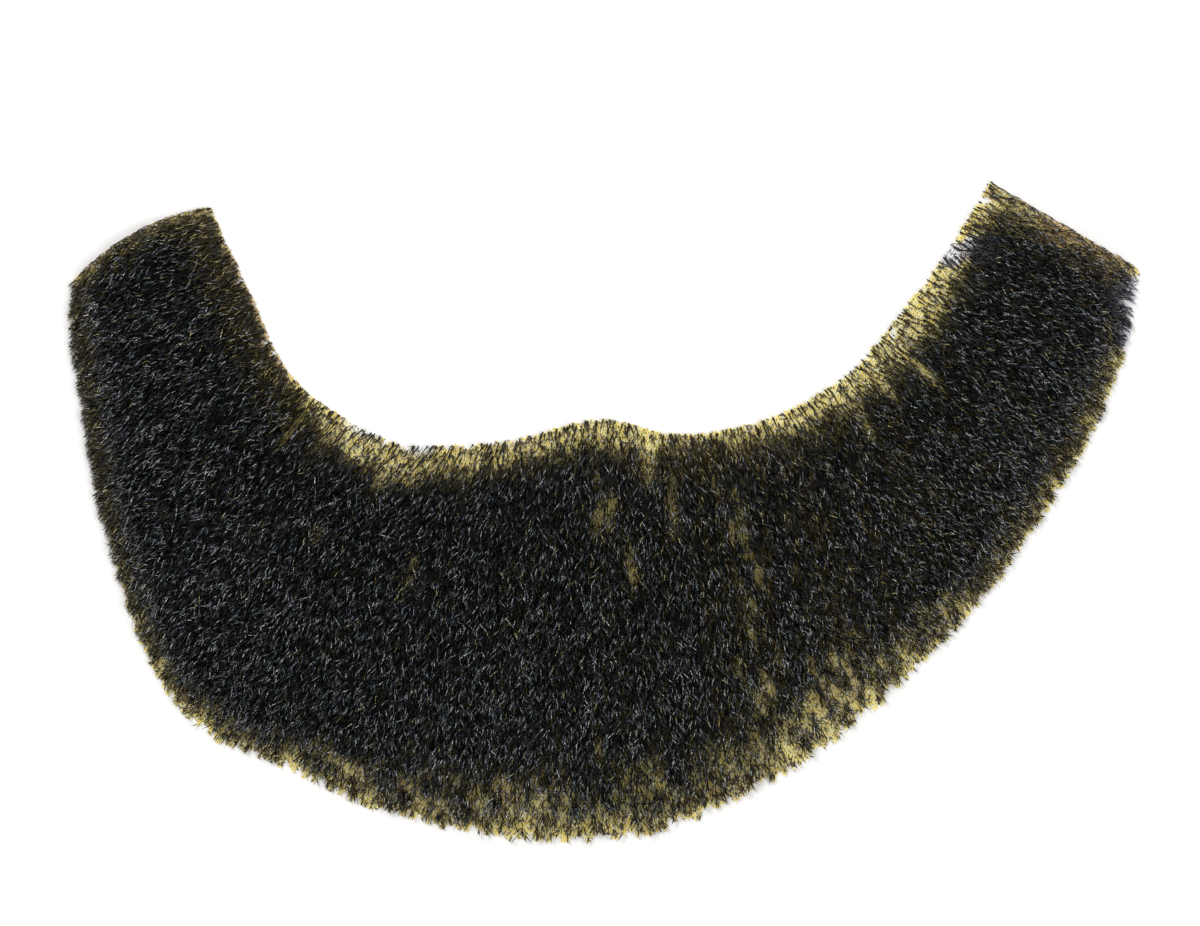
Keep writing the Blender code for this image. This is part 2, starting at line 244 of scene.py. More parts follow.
@dataclass(frozen=True)
class BeardPattern:
    """The flat pattern of the beard: a fan of lines from the face edge to the hem."""

    span: float = 0.2800
    drop: float = 0.1745
    bare_band: float = 0.0120
    tooth: float = 0.0028
    shallowest_tooth: float = 0.40
    tooth_grows: tuple[float, float] = (6.0, 12.0)
    longest_tuck: float = 0.0016
    tuck_fades: tuple[float, float] = (4.5, 5.0)
    ear_inset: float = 0.02
    probe: float = 0.05
    stations: tuple[Station, ...] = STATIONS

    @property
    def last(self) -> int:
        """The number of the last station."""
        return len(self.stations) - 1

    def read(self, column: str, at: Array) -> Array:
        """Read a column of the stations on a smooth curve through them all.

        Args:
            column: The column's name.
            at: Places between the stations, from 0 to the last one.

        Returns:
            The column's value at each place.
        """
        values = np.array([getattr(station, column) for station in self.stations])
        before_first = 2.0 * values[0] - values[1]
        after_last = 2.0 * values[-1] - values[-2]
        known = np.concatenate(([before_first], values, [after_last]))
        inside = np.clip(at, 0.0, self.last)
        start = np.minimum(inside.astype(int), self.last - 1)
        part = inside - start
        here, there = known[start + 1], known[start + 2]
        slope_here = 0.5 * (there - known[start])
        slope_there = 0.5 * (known[start + 3] - here)
        square = part * part
        cube = square * part
        return (
            here * (2.0 * cube - 3.0 * square + 1.0)
            + slope_here * (cube - 2.0 * square + part)
            + there * (3.0 * square - 2.0 * cube)
            + slope_there * (cube - square)
        )

    def ends(self, at: Array) -> tuple[Array, Array]:
        """Find where lines meet the face edge and the hem.

        Args:
            at: Places between the stations.

        Returns:
            The points at the face edge and those at the hem, two numbers each.
        """
        half = np.array((self.span, self.drop)) / 2.0
        edge = np.stack((self.read("edge_across", at), self.read("edge_up", at)), axis=-1)
        hem = np.stack((self.read("hem_across", at), self.read("hem_up", at)), axis=-1)
        return edge * half, hem * half

    def length(self, at: Array) -> Array:
        """Return the lengths of lines from the face edge to the hem."""
        edge, hem = self.ends(at)
        return np.linalg.norm(hem - edge, axis=-1)

    def walked(self, at: Array) -> tuple[Array, Array]:
        """Measure how far round the beard lines are from the first one.

        Args:
            at: Places between the stations.

        Returns:
            How far round the face edge, and how far round the hem.
        """
        walk = np.linspace(0.0, self.last, 1200)
        found = []
        for points in self.ends(walk):
            steps = np.linalg.norm(np.diff(points, axis=0), axis=1)
            found.append(np.interp(at, walk, np.concatenate(([0.0], np.cumsum(steps)))))
        return found[0], found[1]

    def place(self, at: Array, along: Array) -> Array:
        """Find points of the flat pattern.

        Args:
            at: Places between the stations.
            along: Shares of the way from the face edge to the hem.

        Returns:
            The points, two numbers each.
        """
        edge, hem = self.ends(at)
        run = hem - edge
        bulge = (4.0 * along * (1.0 - along) * self.read("bow", at))[..., None]
        aside = np.stack((run[..., 1], -run[..., 0]), axis=-1)
        return edge + run * along[..., None] + aside * bulge

    def spread(self, at: Array, along: Array) -> Array:
        """Measure how far apart lines lie, square to them, for each whole station between them.

        Args:
            at: Places between the stations.
            along: Shares of the way from the face edge to the hem.

        Returns:
            The width of one station there.
        """
        low = np.maximum(at - self.probe, 0.0)
        high = np.minimum(at + self.probe, self.last)
        step = self.place(high, along) - self.place(low, along)
        edge, hem = self.ends(at)
        run = (hem - edge) / self.length(at)[..., None]
        return np.abs(step[..., 0] * run[..., 1] - step[..., 1] * run[..., 0]) / (high - low)

    def bare(self, at: Array) -> Array:
        """Return how wide the bare band of lace is at lines."""
        return self.read("bare", at) * self.bare_band

    def teeth(self, at: Array) -> Array:
        """Find how deep the jagged hem is cut in.

        Args:
            at: Places between the stations.

        Returns:
            The depth at each place.
        """
        _, hem = self.walked(at)
        start, fade = self.tooth_grows
        share = raised(self.shallowest_tooth, eased((self.read("ragged", at) - start) / fade))
        return self.tooth * share * self._jagged(hem, 31)

    def tucked(self, at: Array) -> Array:
        """Return how far the lace keeps back under the tips where hair is thick up to the hem."""
        start, fade = self.tuck_fades
        return self.longest_tuck * (1.0 - eased((self.read("ragged", at) - start) / fade))

    def frays(self, at: Array) -> Array:
        """Return how deep the frayed face edge is cut in at lines."""
        edge, _ = self.walked(at)
        return self.read("frayed", at) * MILLIMETRE * self._jagged(edge, 33)

    @staticmethod
    def _jagged(walked: Array, seed: int) -> Array:
        """Put wide and narrow teeth together.

        Args:
            walked: How far along the rim each place is.
            seed: Which teeth they are.

        Returns:
            Their depth at each place, from 0 to about 1.
        """
        wide = Patches(0.0034, 1.0, seed).read(walked, 0.0 * walked)
        narrow = Patches(0.0009, 1.0, seed + 1).read(walked, 0.0 * walked)
        return 0.32 * eased((wide - 0.25) / 0.5) + 0.75 * eased((narrow - 0.25) / 0.5)

    def outline(self, edge_inset: float, hem_inset: float, steps: int) -> Array:
        """Walk round the cut edge of the lace.

        Args:
            edge_inset: How far the outline keeps inside the frayed face edge.
            hem_inset: How far it keeps inside the points of the jagged hem.
            steps: How many points the face edge and the hem have.

        Returns:
            The outline's points, two numbers each.
        """
        at = np.linspace(self.ear_inset, self.last - self.ear_inset, steps)
        lengths = self.length(at)
        edge = self.place(at, (edge_inset + self.frays(at)) / lengths)
        hem = self.place(at, 1.0 - (hem_inset + self.teeth(at) + self.tucked(at)) / lengths)
        across = np.linspace(0.0, 1.0, 12)[1:-1]
        right = self.place(np.full_like(across, at[-1]), across)
        left = self.place(np.full_like(across, at[0]), across[::-1])
        return np.concatenate((edge, right, hem[::-1], left))


PATTERN = BeardPattern()


@dataclass(frozen=True)
class Value:
    """A number in a shader, on which Python's operators add Math nodes."""

    shader: Shader
    socket: bpy.types.NodeSocket

    def _with(self, operation: str, first: Value | float, second: Value | float) -> Value:
        """Return the value that a Math node makes of two numbers."""
        made = self.shader.node("ShaderNodeMath", {"operation": operation}, {0: first, 1: second})
        return Value(self.shader, made.outputs[0])

    def __add__(self, other: Value | float) -> Value:
        """Return the sum."""
        return self._with("ADD", self, other)

    __radd__ = __add__

    def __sub__(self, other: Value | float) -> Value:
        """Return this value less the other."""
        return self._with("SUBTRACT", self, other)

    def __rsub__(self, other: Value | float) -> Value:
        """Return the other value less this one."""
        return self._with("SUBTRACT", other, self)

    def __mul__(self, other: Value | float) -> Value:
        """Return the product."""
        return self._with("MULTIPLY", self, other)

    __rmul__ = __mul__

    def limited(self) -> Value:
        """Return the value held between 0 and 1."""
        made = self.shader.node("ShaderNodeClamp", {}, {"Value": self})
        return Value(self.shader, made.outputs[0])


Input = Value | bpy.types.NodeSocket | float | tuple[float, ...]


class Shader:
    """The nodes of one material, which end in one Principled shader."""

    def __init__(self, name: str, constants: dict[str, float]) -> None:
        """Start a material.

        Args:
            name: The material's name.
            constants: What is the same all over the surface, by the shader's sockets.
        """
        self.material = bpy.data.materials.new(name)
        self.material.use_nodes = True
        self.tree = self.material.node_tree
        self.surface = self.tree.nodes["Principled BSDF"]
        for socket, value in constants.items():
            self.surface.inputs[socket].default_value = value

    def feed(self, socket: bpy.types.NodeSocket, value: Input) -> None:
        """Link a value to a socket, or set the socket to it.

        Args:
            socket: The socket.
            value: A value, an output to link, or plain numbers.
        """
        source = value.socket if isinstance(value, Value) else value
        if isinstance(source, bpy.types.NodeSocket):
            self.tree.links.new(source, socket)
        else:
            socket.default_value = source

    def node(
        self,
        kind: str,
        settings: dict[str, object],
        inputs: dict[SocketKey, Input],
    ) -> bpy.types.Node:
        """Add a node.

        Args:
            kind: The node's type.
            settings: Its own settings, set first. A ramp's are its stops.
            inputs: What its sockets are fed, by name or number.

        Returns:
            The node.
        """
        made = self.tree.nodes.new(kind)
        for name, value in settings.items():
            if name == "stops":
                self._set_stops(made, value)
            else:
                setattr(made, name, value)
        for key, value in inputs.items():
            self.feed(made.inputs[key], value)
        return made

    @staticmethod
    def _set_stops(ramp: bpy.types.Node, stops: object) -> None:
        """Give a ramp its stops.

        Args:
            ramp: The ramp's node.
            stops: Its stops, each a place and a colour.
        """
        elements = ramp.color_ramp.elements
        while len(elements) > 1:
            elements.remove(elements[-1])
        for number, (place, colour) in enumerate(stops):
            stop = elements[0] if number == 0 else elements.new(place)
            stop.position = place
            stop.color = (*colour, 1.0)

    def mixed(self, share: Value | float, first: Input, second: Input) -> bpy.types.NodeSocket:
        """Return one colour turned towards another by a share."""
        made = self.node("ShaderNodeMix", {"data_type": "RGBA"}, {0: share, 6: first, 7: second})
        return made.outputs[2]

    def ramp(self, value: Value, stops: tuple[tuple[float, Colour], ...]) -> bpy.types.NodeSocket:
        """Return the colour that a ramp gives for a value."""
        return self.node("ShaderNodeValToRGB", {"stops": stops}, {0: value}).outputs["Color"]

    def noise(self, place: Input, scale: float, detail: float) -> Value:
        """Read soft noise.

        Args:
            place: Where it is read.
            scale: How many patches there are to a metre.
            detail: How many finer layers it has.

        Returns:
            The noise, from 0 to 1.
        """
        made = self.node(
            "ShaderNodeTexNoise", {}, {"Vector": place, "Scale": scale, "Detail": detail}
        )
        return Value(self, made.outputs[0])

    def bump(self, height: Value, strength: float, depth: float) -> None:
        """Raise and lower the surface through its normal.

        Args:
            height: The height, from 0 to 1.
            strength: How much of it shows.
            depth: How deep the full height is, in metres.
        """
        made = self.node(
            "ShaderNodeBump", {}, {"Height": height, "Strength": strength, "Distance": depth}
        )
        self.feed(self.surface.inputs["Normal"], made.outputs["Normal"])


class Tone(Enum):
    """The families of hair colour, each the share of the hair map's columns where it runs."""

    BLACK = (0.00, 0.40)
    # Slate hairs carry the painted glints: their tip colours run up to white.
    SLATE = (0.42, 0.68)
    BROWN = (0.70, 0.86)
    GOLDEN = (0.88, 1.00)


@dataclass(frozen=True)
class HairFinish:
    """Coarse dark hair. The map's columns are its tones, and its rows run from root to tip."""

    name: str = "coarse_dark_hair"
    roots: tuple[tuple[float, Colour], ...] = (
        (0.00, (0.003, 0.004, 0.004)),
        (0.68, (0.005, 0.006, 0.006)),
        (0.70, (0.010, 0.008, 0.003)),
        (1.00, (0.045, 0.032, 0.009)),
    )
    # Tip colours; the slate columns climb to white, and those bright ends are painted glints.
    tips: tuple[tuple[float, Colour], ...] = (
        (0.00, (0.005, 0.006, 0.006)),
        (0.40, (0.017, 0.020, 0.021)),
        (0.42, (0.034, 0.035, 0.044)),
        (0.48, (0.078, 0.076, 0.108)),
        (0.51, (0.092, 0.118, 0.118)),
        (0.54, (0.165, 0.162, 0.220)),
        (0.57, (0.225, 0.320, 0.340)),
        (0.60, (0.480, 0.475, 0.600)),
        (0.63, (0.680, 0.750, 0.730)),
        (0.68, (1.000, 1.000, 1.000)),
        (0.70, (0.018, 0.013, 0.004)),
        (0.80, (0.060, 0.046, 0.012)),
        (0.86, (0.130, 0.100, 0.028)),
        (0.88, (0.300, 0.240, 0.070)),
        (1.00, (1.000, 0.900, 0.480)),
    )
    smooth: float = 0.22
    rough: float = 0.20
    gloss: float = 0.42

    def material(self) -> bpy.types.Material:
        """Return the material."""
        constants = {"Specular IOR Level": self.gloss, "Metallic": 0.0}
        shader = Shader(self.name, constants)
        spot = shader.node("ShaderNodeUVMap", {"uv_map": MAP_NAME}, {}).outputs["UV"]
        parts = shader.node("ShaderNodeSeparateXYZ", {}, {"Vector": spot})
        column = Value(shader, parts.outputs["X"])
        along = Value(shader, parts.outputs["Y"])
        fine = shader.node(
            "ShaderNodeVectorMath", {"operation": "MULTIPLY"}, {0: spot, 1: (150.0, 13.0, 1.0)}
        )
        cuticle_and_glint_noise = shader.noise(fine.outputs[0], 1.0, 1.0)
        # Painted glints: near the tip, noise patches turn the hair to its tip colour, up to white in the
        # slate columns.
        shown = ((along - 0.58) * 6.0).limited() * ((cuticle_and_glint_noise - 0.44) * 8.0).limited()
        colour = shader.mixed(shown, shader.ramp(column, self.roots), shader.ramp(column, self.tips))
        shader.feed(shader.surface.inputs["Base Color"], colour)
        shader.feed(shader.surface.inputs["Roughness"], cuticle_and_glint_noise * self.rough + self.smooth)
        shader.bump(cuticle_and_glint_noise, 0.2, 0.00005)
        return shader.material


@dataclass(frozen=True)
class LaceFinish:
    """Gold net with dark stubs of hair in it, browner in places and lilac with wear, with pale yellow
    highlights and two white spots of glare painted on.
    """

    name: str = "gold_lace"
    gold: Colour = (0.98, 0.82, 0.22)
    tan: Colour = (0.50, 0.33, 0.10)
    tan_share: float = 0.60
    # Pale yellow of the painted highlights on the net.
    pale: Colour = (1.00, 0.97, 0.50)
    pale_highlight_share: float = 0.80
    stubble: Colour = (0.085, 0.055, 0.014)
    stubble_share: float = 0.94
    worn_and_glare: tuple[tuple[Spot, Colour], ...] = (
        (Spot(-92.0, 52.0, 22.0), (0.60, 0.44, 0.17)),
        (Spot(-120.0, 74.0, 22.0), (0.48, 0.38, 0.11)),
        (Spot(126.0, 70.0, 15.0), (0.68, 0.48, 0.15)),
        # The two white spots are painted glare, where light washes the net out.
        (Spot(-61.0, 26.0, 8.0), (1.00, 0.99, 0.94)),
        (Spot(-48.0, 21.0, 7.5), (1.00, 0.99, 0.94)),
        (Spot(91.0, 67.4, 4.0), (0.96, 0.95, 1.00)),
        (Spot(97.0, 69.0, 3.8), (0.96, 0.95, 1.00)),
        (Spot(139.0, 56.0, 6.5), (0.80, 0.79, 0.90)),
        (Spot(138.0, 46.0, 5.0), (0.80, 0.79, 0.90)),
    )

    @staticmethod
    def _near(shader: Shader, place: Input, spot: Spot) -> Value:
        """Mark one of the listed spots: one with wear, or one painted white as glare.

        Args:
            shader: The lace's shader.
            place: Where the surface is.
            spot: The spot.

        Returns:
            1 at the middle of the spot, falling to 0 outside it.
        """
        middle = (spot.across * MILLIMETRE, spot.up * MILLIMETRE, 0.0005)
        gap = shader.node("ShaderNodeVectorMath", {"operation": "DISTANCE"}, {0: place, 1: middle})
        away = Value(shader, gap.outputs["Value"])
        return ((spot.radius * MILLIMETRE - away) * (1.0 / (0.3 * spot.radius * MILLIMETRE))).limited()

    def material(self) -> bpy.types.Material:
        """Return the material."""
        shader = Shader(self.name, {"Specular IOR Level": 0.35, "Sheen Weight": 0.15})
        place = shader.node("ShaderNodeTexCoord", {}, {}).outputs["Object"]
        broad = shader.noise(place, 90.0, 3.0)
        fine = shader.noise(place, 760.0, 2.0)
        tanned = ((broad - 0.46) * 4.5).limited() * self.tan_share
        colour = shader.mixed(tanned, (*self.gold, 1.0), (*self.tan, 1.0))
        # Painted highlights: fine noise turns patches of the net pale yellow.
        pale_highlight = ((fine - 0.45) * 6.0).limited() * self.pale_highlight_share
        colour = shader.mixed(pale_highlight, colour, (*self.pale, 1.0))
        # Spots with wear, lilac ones and two painted white as glare.
        for spot, worn_and_glare in self.worn_and_glare:
            colour = shader.mixed(self._near(shader, place, spot), colour, (*worn_and_glare, 1.0))
        tied = shader.noise(place, 880.0, 1.0)
        stubbled = ((tied - 0.53) * 14.0).limited() * self.stubble_share
        colour = shader.mixed(stubbled, colour, (*self.stubble, 1.0))
        shader.feed(shader.surface.inputs["Base Color"], colour)
        shader.feed(shader.surface.inputs["Roughness"], fine * 0.3 + 0.45)
        shader.bump(fine, 0.3, 0.0001)
        return shader.material


@contextmanager
def editing(piece: bpy.types.Object) -> Iterator[bmesh.types.BMesh]:
    """Open a piece in edit mode, with nothing selected.

    Args:
        piece: The piece to shape.

    Yields:
        Its edit mesh, in which points are selected.
    """
    bpy.context.view_layer.objects.active = piece
    bpy.ops.object.mode_set(mode="EDIT")
    bpy.ops.mesh.select_mode(type="VERT")
    bpy.ops.mesh.select_all(action="DESELECT")
    yield bmesh.from_edit_mesh(piece.data)
    bpy.ops.object.mode_set(mode="OBJECT")


@dataclass(frozen=True)
class Shape:
    """A small modelled shape that stands on Z, read so that it can be laid along many lines."""

    levels: Array
    ring: Array
    across: Array
    corners: Array
    sizes: Array
    shares: Array

    @classmethod
    def taken_from(cls, piece: bpy.types.Object) -> Shape:
        """Read a modelled piece, and remove it.

        Args:
            piece: The piece, which stands on Z.

        Returns:
            Its shape.
        """
        points = np.array([tuple(point.co) for point in piece.data.vertices])
        faces = [list(face.vertices) for face in piece.data.polygons]
        levels, ring = np.unique(np.round(points[:, 2], 4), return_inverse=True)
        rim = points[np.hypot(points[:, 0], points[:, 1]) > 0.5][0]
        start = math.atan2(rim[1], rim[0])
        shares = [cls._face_shares(points[face], levels[-1], start) for face in faces]
        mesh = piece.data
        bpy.data.objects.remove(piece)
        bpy.data.meshes.remove(mesh)
        return cls(
            levels=levels,
            ring=ring.reshape(-1),
            across=points[:, :2],
            corners=np.concatenate(faces),
            sizes=np.array([len(face) for face in faces]),
            shares=np.concatenate(shares),
        )

    @staticmethod
    def _face_shares(points: Array, top: float, start: float) -> Array:
        """Unroll a face's corners: how far round and how far along each one is.

        Args:
            points: The face's corners.
            top: The height of the shape's top.
            start: The angle at which the unrolled surface starts.

        Returns:
            Two shares for each corner.
        """
        heights = points[:, 2] / top
        if np.ptp(heights) < 1e-4:
            aside = points[:, :2] / max(np.abs(points[:, :2]).max(), 1e-6)
            return np.stack((0.5 + 0.3 * aside[:, 0], heights + 0.01 * aside[:, 1]), axis=-1)
        middle = points[:, :2].mean(axis=0)
        centre = (math.atan2(middle[1], middle[0]) - start) % math.tau
        angles = np.arctan2(points[:, 1], points[:, 0]) - start
        turns = (angles - centre + math.pi) % math.tau - math.pi
        turns[np.hypot(points[:, 0], points[:, 1]) < 1e-4] = 0.0
        return np.stack(((centre + turns) / math.tau, heights), axis=-1)

    def laid(self, lines: Array, widths: Array, rolls: Array) -> Array:
        """Lay a copy of the shape along each line.

        Args:
            lines: For each copy, one point for each level of the shape.
            widths: For each copy, the size of the shape's own unit across the line.
            rolls: For each copy, how far it is turned about its line.

        Returns:
            The points of every copy.
        """
        runs = np.gradient(lines, axis=1)
        runs /= np.linalg.norm(runs, axis=2, keepdims=True)
        sides = np.cross(runs, np.array((0.0, 0.0, 1.0)))
        sides /= np.linalg.norm(sides, axis=2, keepdims=True)
        rises = np.cross(sides, runs)
        cosine = np.cos(rolls)[:, None, None]
        sine = np.sin(rolls)[:, None, None]
        first = (sides * cosine + rises * sine)[:, self.ring]
        second = (rises * cosine - sides * sine)[:, self.ring]
        across = widths[:, None, None] * self.across[None]
        return lines[:, self.ring] + first * across[..., :1] + second * across[..., 1:]


@dataclass(frozen=True)
class ShapeMaker:
    """Models the three small shapes that are repeated: a hair, a thread and a knot."""

    hair_sides: int = 3
    coat_bend: float = 0.60
    strand_bend: float = 0.12
    thread_sides: int = 4
    thread_parts: int = 8

    @staticmethod
    def _cut(piece: bpy.types.Object, height: float, width: float) -> None:
        """Cut a standing piece through at a height, and make it that wide there.

        Args:
            piece: The piece, in object mode.
            height: Where the cut is.
            width: How wide the cut's ring becomes, from its own axis.
        """
        with editing(piece) as shape:
            bpy.ops.mesh.select_all(action="SELECT")
            bpy.ops.mesh.bisect(plane_co=(0.0, 0.0, height), plane_no=(0.0, 0.0, 1.0))
            shape = bmesh.from_edit_mesh(piece.data)
            ring = [point for point in shape.verts if abs(point.co.z - height) < 1e-4]
            for point in shape.verts:
                point.select_set(point in ring)
            shape.select_flush_mode()
            bmesh.update_edit_mesh(piece.data)
            factor = width / ring[0].co.xy.length
            bpy.ops.transform.resize(value=(factor, factor, 1.0), center_override=(0.0, 0.0, height))

    def hair(self, bend: float) -> Shape:
        """Model one hair, drawn to a point at its root and its tip.

        Args:
            bend: How far along the hair it is thickest, and where it can bend.

        Returns:
            Its shape.
        """
        bpy.ops.object.select_all(action="DESELECT")
        bpy.ops.mesh.primitive_cone_add(
            vertices=self.hair_sides, radius1=1.0, radius2=0.0, depth=1.0, location=(0.0, 0.0, 0.5)
        )
        piece = bpy.context.object
        bpy.ops.object.transform_apply(location=True, rotation=True, scale=True)
        self._cut(piece, bend, 1.0)
        with editing(piece) as shape:
            for point in shape.verts:
                point.select_set(point.co.z < 1e-4)
            shape.select_flush_mode()
            bmesh.update_edit_mesh(piece.data)
            bpy.ops.mesh.merge(type="CENTER")
        return Shape.taken_from(piece)

    def thread(self) -> Shape:
        """Return one thread, which can bend between its two cut ends."""
        bpy.ops.object.select_all(action="DESELECT")
        bpy.ops.mesh.primitive_cylinder_add(
            vertices=self.thread_sides, radius=1.0, depth=1.0, location=(0.0, 0.0, 0.5)
        )
        piece = bpy.context.object
        bpy.ops.object.transform_apply(location=True, rotation=True, scale=True)
        for part in range(1, self.thread_parts):
            self._cut(piece, part / self.thread_parts, 1.0)
        return Shape.taken_from(piece)

    def knot(self) -> Shape:
        """Return one knot, a small lump that is longer than it is wide."""
        bpy.ops.object.select_all(action="DESELECT")
        bpy.ops.mesh.primitive_ico_sphere_add(subdivisions=1, radius=1.0, location=(0.0, 0.0, 1.0))
        piece = bpy.context.object
        bpy.ops.object.transform_apply(location=True, rotation=True, scale=True)
        with editing(piece) as shape:
            for point in shape.verts:
                point.select_set(point.co.z > 1.0)
            shape.select_flush_mode()
            bmesh.update_edit_mesh(piece.data)
            bpy.ops.transform.resize(value=(0.8, 0.8, 1.0), center_override=(0.0, 0.0, 1.0))
        return Shape.taken_from(piece)


class Swarm:
    """Many copies of small shapes, joined into one mesh."""

    def __init__(self) -> None:
        """Start with no copies."""
        self.points: list[Array] = []
        self.corners: list[Array] = []
        self.sizes: list[Array] = []
        self.spots: list[Array] = []
        self.count = 0

    def add(self, shape: Shape, points: Array, spots: Array) -> None:
        """Add copies of a shape.

        Args:
            shape: The shape.
            points: The points of every copy.
            spots: Where every corner of every copy is on the piece's map.
        """
        copies = len(points)
        starts = self.count + np.arange(copies) * len(shape.ring)
        self.points.append(points.reshape(-1, 3))
        self.corners.append((shape.corners[None] + starts[:, None]).reshape(-1))
        self.sizes.append(np.tile(shape.sizes, copies))
        self.spots.append(spots.reshape(-1, 2))
        self.count += copies * len(shape.ring)

    def made(self, name: str, material: bpy.types.Material) -> bpy.types.Object:
        """Join the copies into one piece.

        Args:
            name: The piece's name.
            material: Its finish.

        Returns:
            The piece, at the origin.
        """
        points = np.concatenate(self.points)
        corners = np.concatenate(self.corners)
        sizes = np.concatenate(self.sizes)
        mesh = bpy.data.meshes.new(name)
        mesh.vertices.add(len(points))
        mesh.vertices.foreach_set("co", points.astype(np.float32).ravel())
        mesh.loops.add(len(corners))
        mesh.loops.foreach_set("vertex_index", corners.astype(np.int32))
        mesh.polygons.add(len(sizes))
        starts = np.concatenate(([0], np.cumsum(sizes)[:-1]))
        mesh.polygons.foreach_set("loop_start", starts.astype(np.int32))
        mesh.update(calc_edges=True)
        layer = mesh.uv_layers.new(name=MAP_NAME)
        layer.uv.foreach_set("vector", np.concatenate(self.spots).astype(np.float32).ravel())
        mesh.shade_flat()
        mesh.materials.append(material)
        piece = bpy.data.objects.new(name, mesh)
        bpy.context.scene.collection.objects.link(piece)
        return piece


@dataclass(frozen=True)
class LaceFoundation:
    """The gold net: threads that run three ways and leave six-sided and three-sided holes."""

    name: str = "lace_net"
    pitch: float = 0.0009
    thread: float = 0.00033
    heights: tuple[float, ...] = (0.00017, 0.00047, 0.00077)
    turns: tuple[float, ...] = (0.0, 60.0, 120.0)
    shifts: tuple[float, ...] = (0.0, 0.0, 0.5)
    wobble: float = 0.00012
    edge_inset: float = 0.0
    hem_inset: float = -0.0002
    outline_steps: int = 1400
    shortest: float = 0.0008
    seed: int = 11

    def outline(self) -> Array:
        """Return the cut edge of the net."""
        return PATTERN.outline(self.edge_inset, self.hem_inset, self.outline_steps)

    def area(self) -> float:
        """Return the net's flat area."""
        points = self.outline()
        ahead = np.roll(points, -1, axis=0)
        return abs(float(np.sum(points[:, 0] * ahead[:, 1] - points[:, 1] * ahead[:, 0]))) / 2.0

    def _runs(self, turn: float, shift: float) -> list[tuple[Array, Array]]:
        """Cut one set of level lines to the outline.

        Args:
            turn: Which way the set runs, in degrees.
            shift: How far the set is moved aside, as a share of the pitch.

        Returns:
            The two ends of each thread.
        """
        angle = math.radians(turn)
        run = np.array((math.cos(angle), math.sin(angle)))
        aside = np.array((-run[1], run[0]))
        points = self.outline()
        offsets, places = points @ aside, points @ run
        next_offsets, next_places = np.roll(offsets, -1), np.roll(places, -1)
        found = []
        first = math.ceil(offsets.min() / self.pitch - shift)
        last = math.floor(offsets.max() / self.pitch - shift)
        for number in range(first, last + 1):
            offset = (number + shift) * self.pitch
            crossed = (offsets <= offset) != (next_offsets <= offset)
            share = (offset - offsets[crossed]) / (next_offsets[crossed] - offsets[crossed])
            crossings = np.sort(places[crossed] + share * (next_places[crossed] - places[crossed]))
            parts = self._slit(list(zip(crossings[::2], crossings[1::2])), run, aside * offset)
            found += [(run * start + aside * offset, run * end + aside * offset) for start, end in parts]
        return found

    def _slit(
        self, parts: list[tuple[float, float]], run: Array, origin: Array
    ) -> list[tuple[float, float]]:
        """Cut the slits out of the threads of one line.

        Args:
            parts: Where each thread starts and ends along the line.
            run: Which way the line runs.
            origin: Where along it the count starts.

        Returns:
            The threads that are left and long enough to keep.
        """
        for slit in SLITS:
            cosine, sine = math.cos(math.radians(slit.turn)), math.sin(math.radians(slit.turn))
            halves = np.array((slit.length, slit.width)) * MILLIMETRE / 2.0
            frame = np.array(((cosine, sine), (-sine, cosine))) / halves[:, None]
            start = frame @ (origin - np.array((slit.across, slit.up)) * MILLIMETRE)
            step = frame @ run
            square, cross = float(step @ step), float(start @ step)
            inside = cross * cross - square * (float(start @ start) - 1.0)
            if inside > 0.0:
                low = (-cross - math.sqrt(inside)) / square
                high = (-cross + math.sqrt(inside)) / square
                parts = [
                    part
                    for first, last in parts
                    for part in ((first, min(last, low)), (max(first, high), last))
                    if part[1] > part[0]
                ]
        return [part for part in parts if part[1] - part[0] > self.shortest]

    def build(self, shapes: ShapeMaker, finish: LaceFinish) -> bpy.types.Object:
        """Weave the net.

        Args:
            shapes: The maker of its thread.
            finish: Its finish.

        Returns:
            The net, which stands for the plain lace sheet.
        """
        chance = np.random.default_rng(self.seed)
        shape = shapes.thread()
        swarm = Swarm()
        shares = shape.levels[None, :, None]
        for turn, shift, height in zip(self.turns, self.shifts, self.heights):
            runs = self._runs(turn, shift)
            starts = np.array([start for start, _ in runs])[:, None]
            ends = np.array([end for _, end in runs])[:, None]
            flat = starts + (ends - starts) * shares
            flat = flat + chance.normal(0.0, self.wobble, flat.shape)
            high = np.full((*flat.shape[:2], 1), height)
            lines = np.concatenate((flat, high), axis=2)
            count = len(lines)
            widths = np.full(count, self.thread / 2.0)
            points = shape.laid(lines, widths, np.zeros(count))
            swarm.add(shape, points, self._spots(points[:, shape.corners]))
        piece = swarm.made(self.name, finish.material())
        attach(piece, BODY)
        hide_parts("lace_foundation")
        self.area()
        return piece

    @staticmethod
    def _spots(points: Array) -> Array:
        """Lay points on the map as seen from above, each layer moved a little aside.

        Args:
            points: The points, three numbers each.

        Returns:
            Their places on the map.
        """
        across = 0.5 + (points[..., 0] + 0.5 * points[..., 2]) / (PATTERN.span * 1.04)
        up = 0.5 + (points[..., 1] + 0.35 * points[..., 2]) / (PATTERN.span * 1.04)
        return np.stack((across, up), axis=-1)


class HairKind(NamedTuple):
    """How wide, how loose and how long hairs are, as shares of the coat's own."""

    width: float
    loose: float
    reach: float


